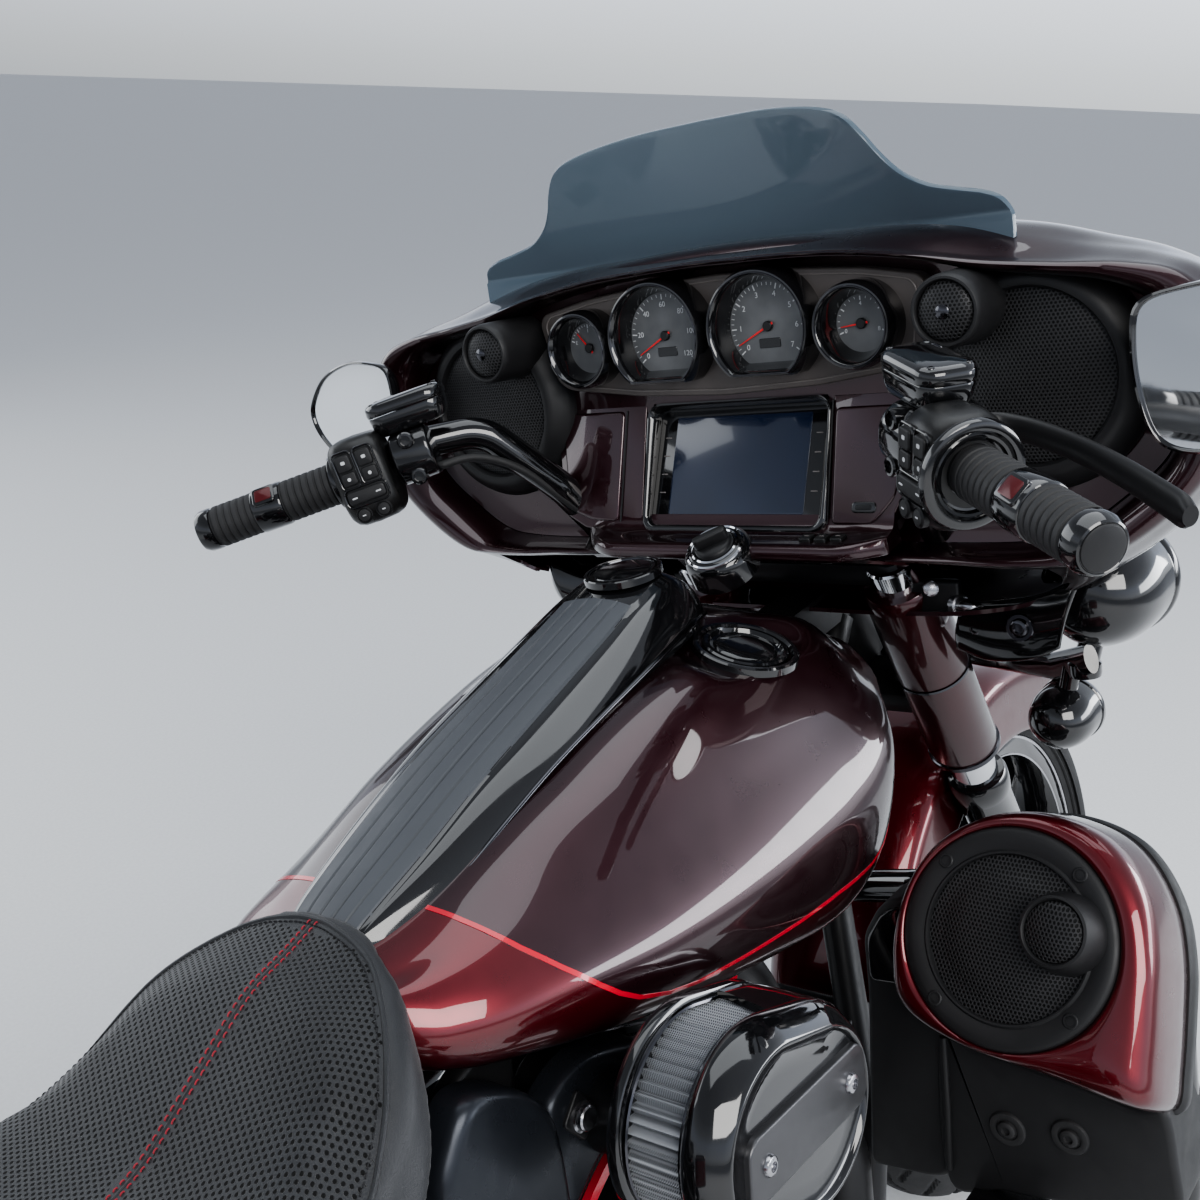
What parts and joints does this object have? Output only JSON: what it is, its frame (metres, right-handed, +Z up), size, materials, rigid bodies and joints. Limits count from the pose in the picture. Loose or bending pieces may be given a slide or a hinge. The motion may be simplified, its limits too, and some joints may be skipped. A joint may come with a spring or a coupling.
{
  "type": "touring cruiser motorcycle with a fork-mounted fairing",
  "caption": "Touring cruiser motorcycle with batwing fairing, hard saddlebags with opening lids, turning wheels, steering fork and folding side stand.",
  "frame": {"origin": "middle of the footprint box on the floor, with the machine leaning 12 degrees to its left on the side stand", "axes": "+X forward along the machine, +Y to its left, +Z up"},
  "size_m": [2.3671, 1.1314, 1.2878],
  "materials": {
    "paint_dark": "gloss",
    "paint_body": "gloss",
    "paint_cherry": "gloss",
    "black_gloss": "gloss",
    "black_satin": "satin",
    "black_plastic": "satin",
    "engine_metal": "satin",
    "steel": "satin",
    "rubber_black": "matte",
    "tyre_black": "matte",
    "seat_skin": "satin",
    "smoked_glass": "gloss",
    "screen_glass": "gloss",
    "panel_taupe": "satin",
    "lamp_glass": "gloss",
    "lamp_red": "gloss",
    "mirror_glass": "polished"
  },
  "bodies": {
    "chassis": {"frame": "black_satin", "swingarm": "black_satin", "rear_axle": "steel", "rear_shocks": "black_satin", "engine_case": "engine_metal", "primary_cover": "engine_metal", "front_cylinder": "engine_metal", "rear_cylinder": "engine_metal", "air_cleaner": "black_gloss", "exhaust_header": "black_satin", "mufflers": "black_satin", "fuel_tank": "paint_body", "tank_console": "black_plastic", "seat": "seat_skin", "rear_fender": "paint_dark", "fender_supports": "black_gloss", "side_covers": "paint_body", "tail_lights": "lamp_red", "engine_guard": "black_gloss", "lower_fairings": "paint_cherry", "lower_speakers": "black_plastic", "footboards": "rubber_black", "passenger_boards": "black_satin", "foot_controls": "black_gloss", "oil_cooler": "black_plastic", "rear_caliper": "black_satin", "drive_belt": "rubber_black", "saddlebag_left": "paint_body", "saddlebag_right": "paint_body"},
    "steering": {"triple_clamp": "black_satin", "fork_legs": "black_gloss", "fork_covers": "paint_dark", "handlebar": "black_gloss", "grips": "rubber_black", "hand_controls": "black_plastic", "outer_fairing": "paint_body", "inner_fairing": "paint_body", "gauge_panel": "panel_taupe", "display": "screen_glass", "fairing_speakers": "black_plastic", "windshield": "smoked_glass", "headlamp": "lamp_glass", "passing_lamps": "black_gloss", "mirrors": "mirror_glass", "front_fender": "paint_cherry", "front_calipers": "black_satin", "front_axle": "steel"},
    "front_wheel": {"front_tyre": "tyre_black", "front_wheel": "engine_metal"},
    "rear_wheel": {"rear_tyre": "tyre_black", "rear_wheel": "engine_metal"},
    "side_stand": {"side_stand": "black_satin"},
    "lid_left": {"saddlebag_lid_left": "paint_body"},
    "lid_right": {"saddlebag_lid_right": "paint_body"},
    "fuel_cap": {"fuel_cap": "black_gloss"},
    "media_door": {"media_door": "paint_body"}
  },
  "joints": [
    {"name": "steering", "type": "hinge", "parent": "chassis", "child": "steering", "pos_m": [0.63592, -0.03051, 0.80375], "axis": [-0.438, 0.1869, 0.8793], "range_deg": [-30, 30]},
    {"name": "front_wheel_spin", "type": "hinge", "parent": "steering", "child": "front_wheel", "pos_m": [0.86364, -0.13447, 0.31458], "axis": [-0.0001, 0.9781, -0.2079], "continuous": true},
    {"name": "rear_wheel_spin", "type": "hinge", "parent": "chassis", "child": "rear_wheel", "pos_m": [-0.76136, -0.13281, 0.32313], "axis": [-0.0001, 0.9781, -0.2079], "continuous": true},
    {"name": "side_stand_fold", "type": "hinge", "parent": "chassis", "child": "side_stand", "pos_m": [0.13859, -0.00325, 0.20114], "axis": [0.0002, 0.8599, 0.5104], "range_deg": [0, 86]},
    {"name": "lid_left_open", "type": "hinge", "parent": "chassis", "child": "lid_left", "pos_m": [-0.76126, 0.3782, 0.53399], "axis": [-1, 0, 0.0004], "range_deg": [0, 80]},
    {"name": "lid_right_open", "type": "hinge", "parent": "chassis", "child": "lid_right", "pos_m": [-0.76118, -0.51387, 0.72361], "axis": [1, 0, -0.0004], "range_deg": [0, 80]},
    {"name": "fuel_cap_lift", "type": "slide", "parent": "chassis", "child": "fuel_cap", "axis": [0.0205, -0.0963, 0.9951], "range_m": [0, 0.05]},
    {"name": "media_door_open", "type": "hinge", "parent": "steering", "child": "media_door", "pos_m": [0.48626, -0.12333, 1.04773], "axis": [-0.0001, 0.9781, -0.2079], "range_deg": [0, 70]}
  ]
}
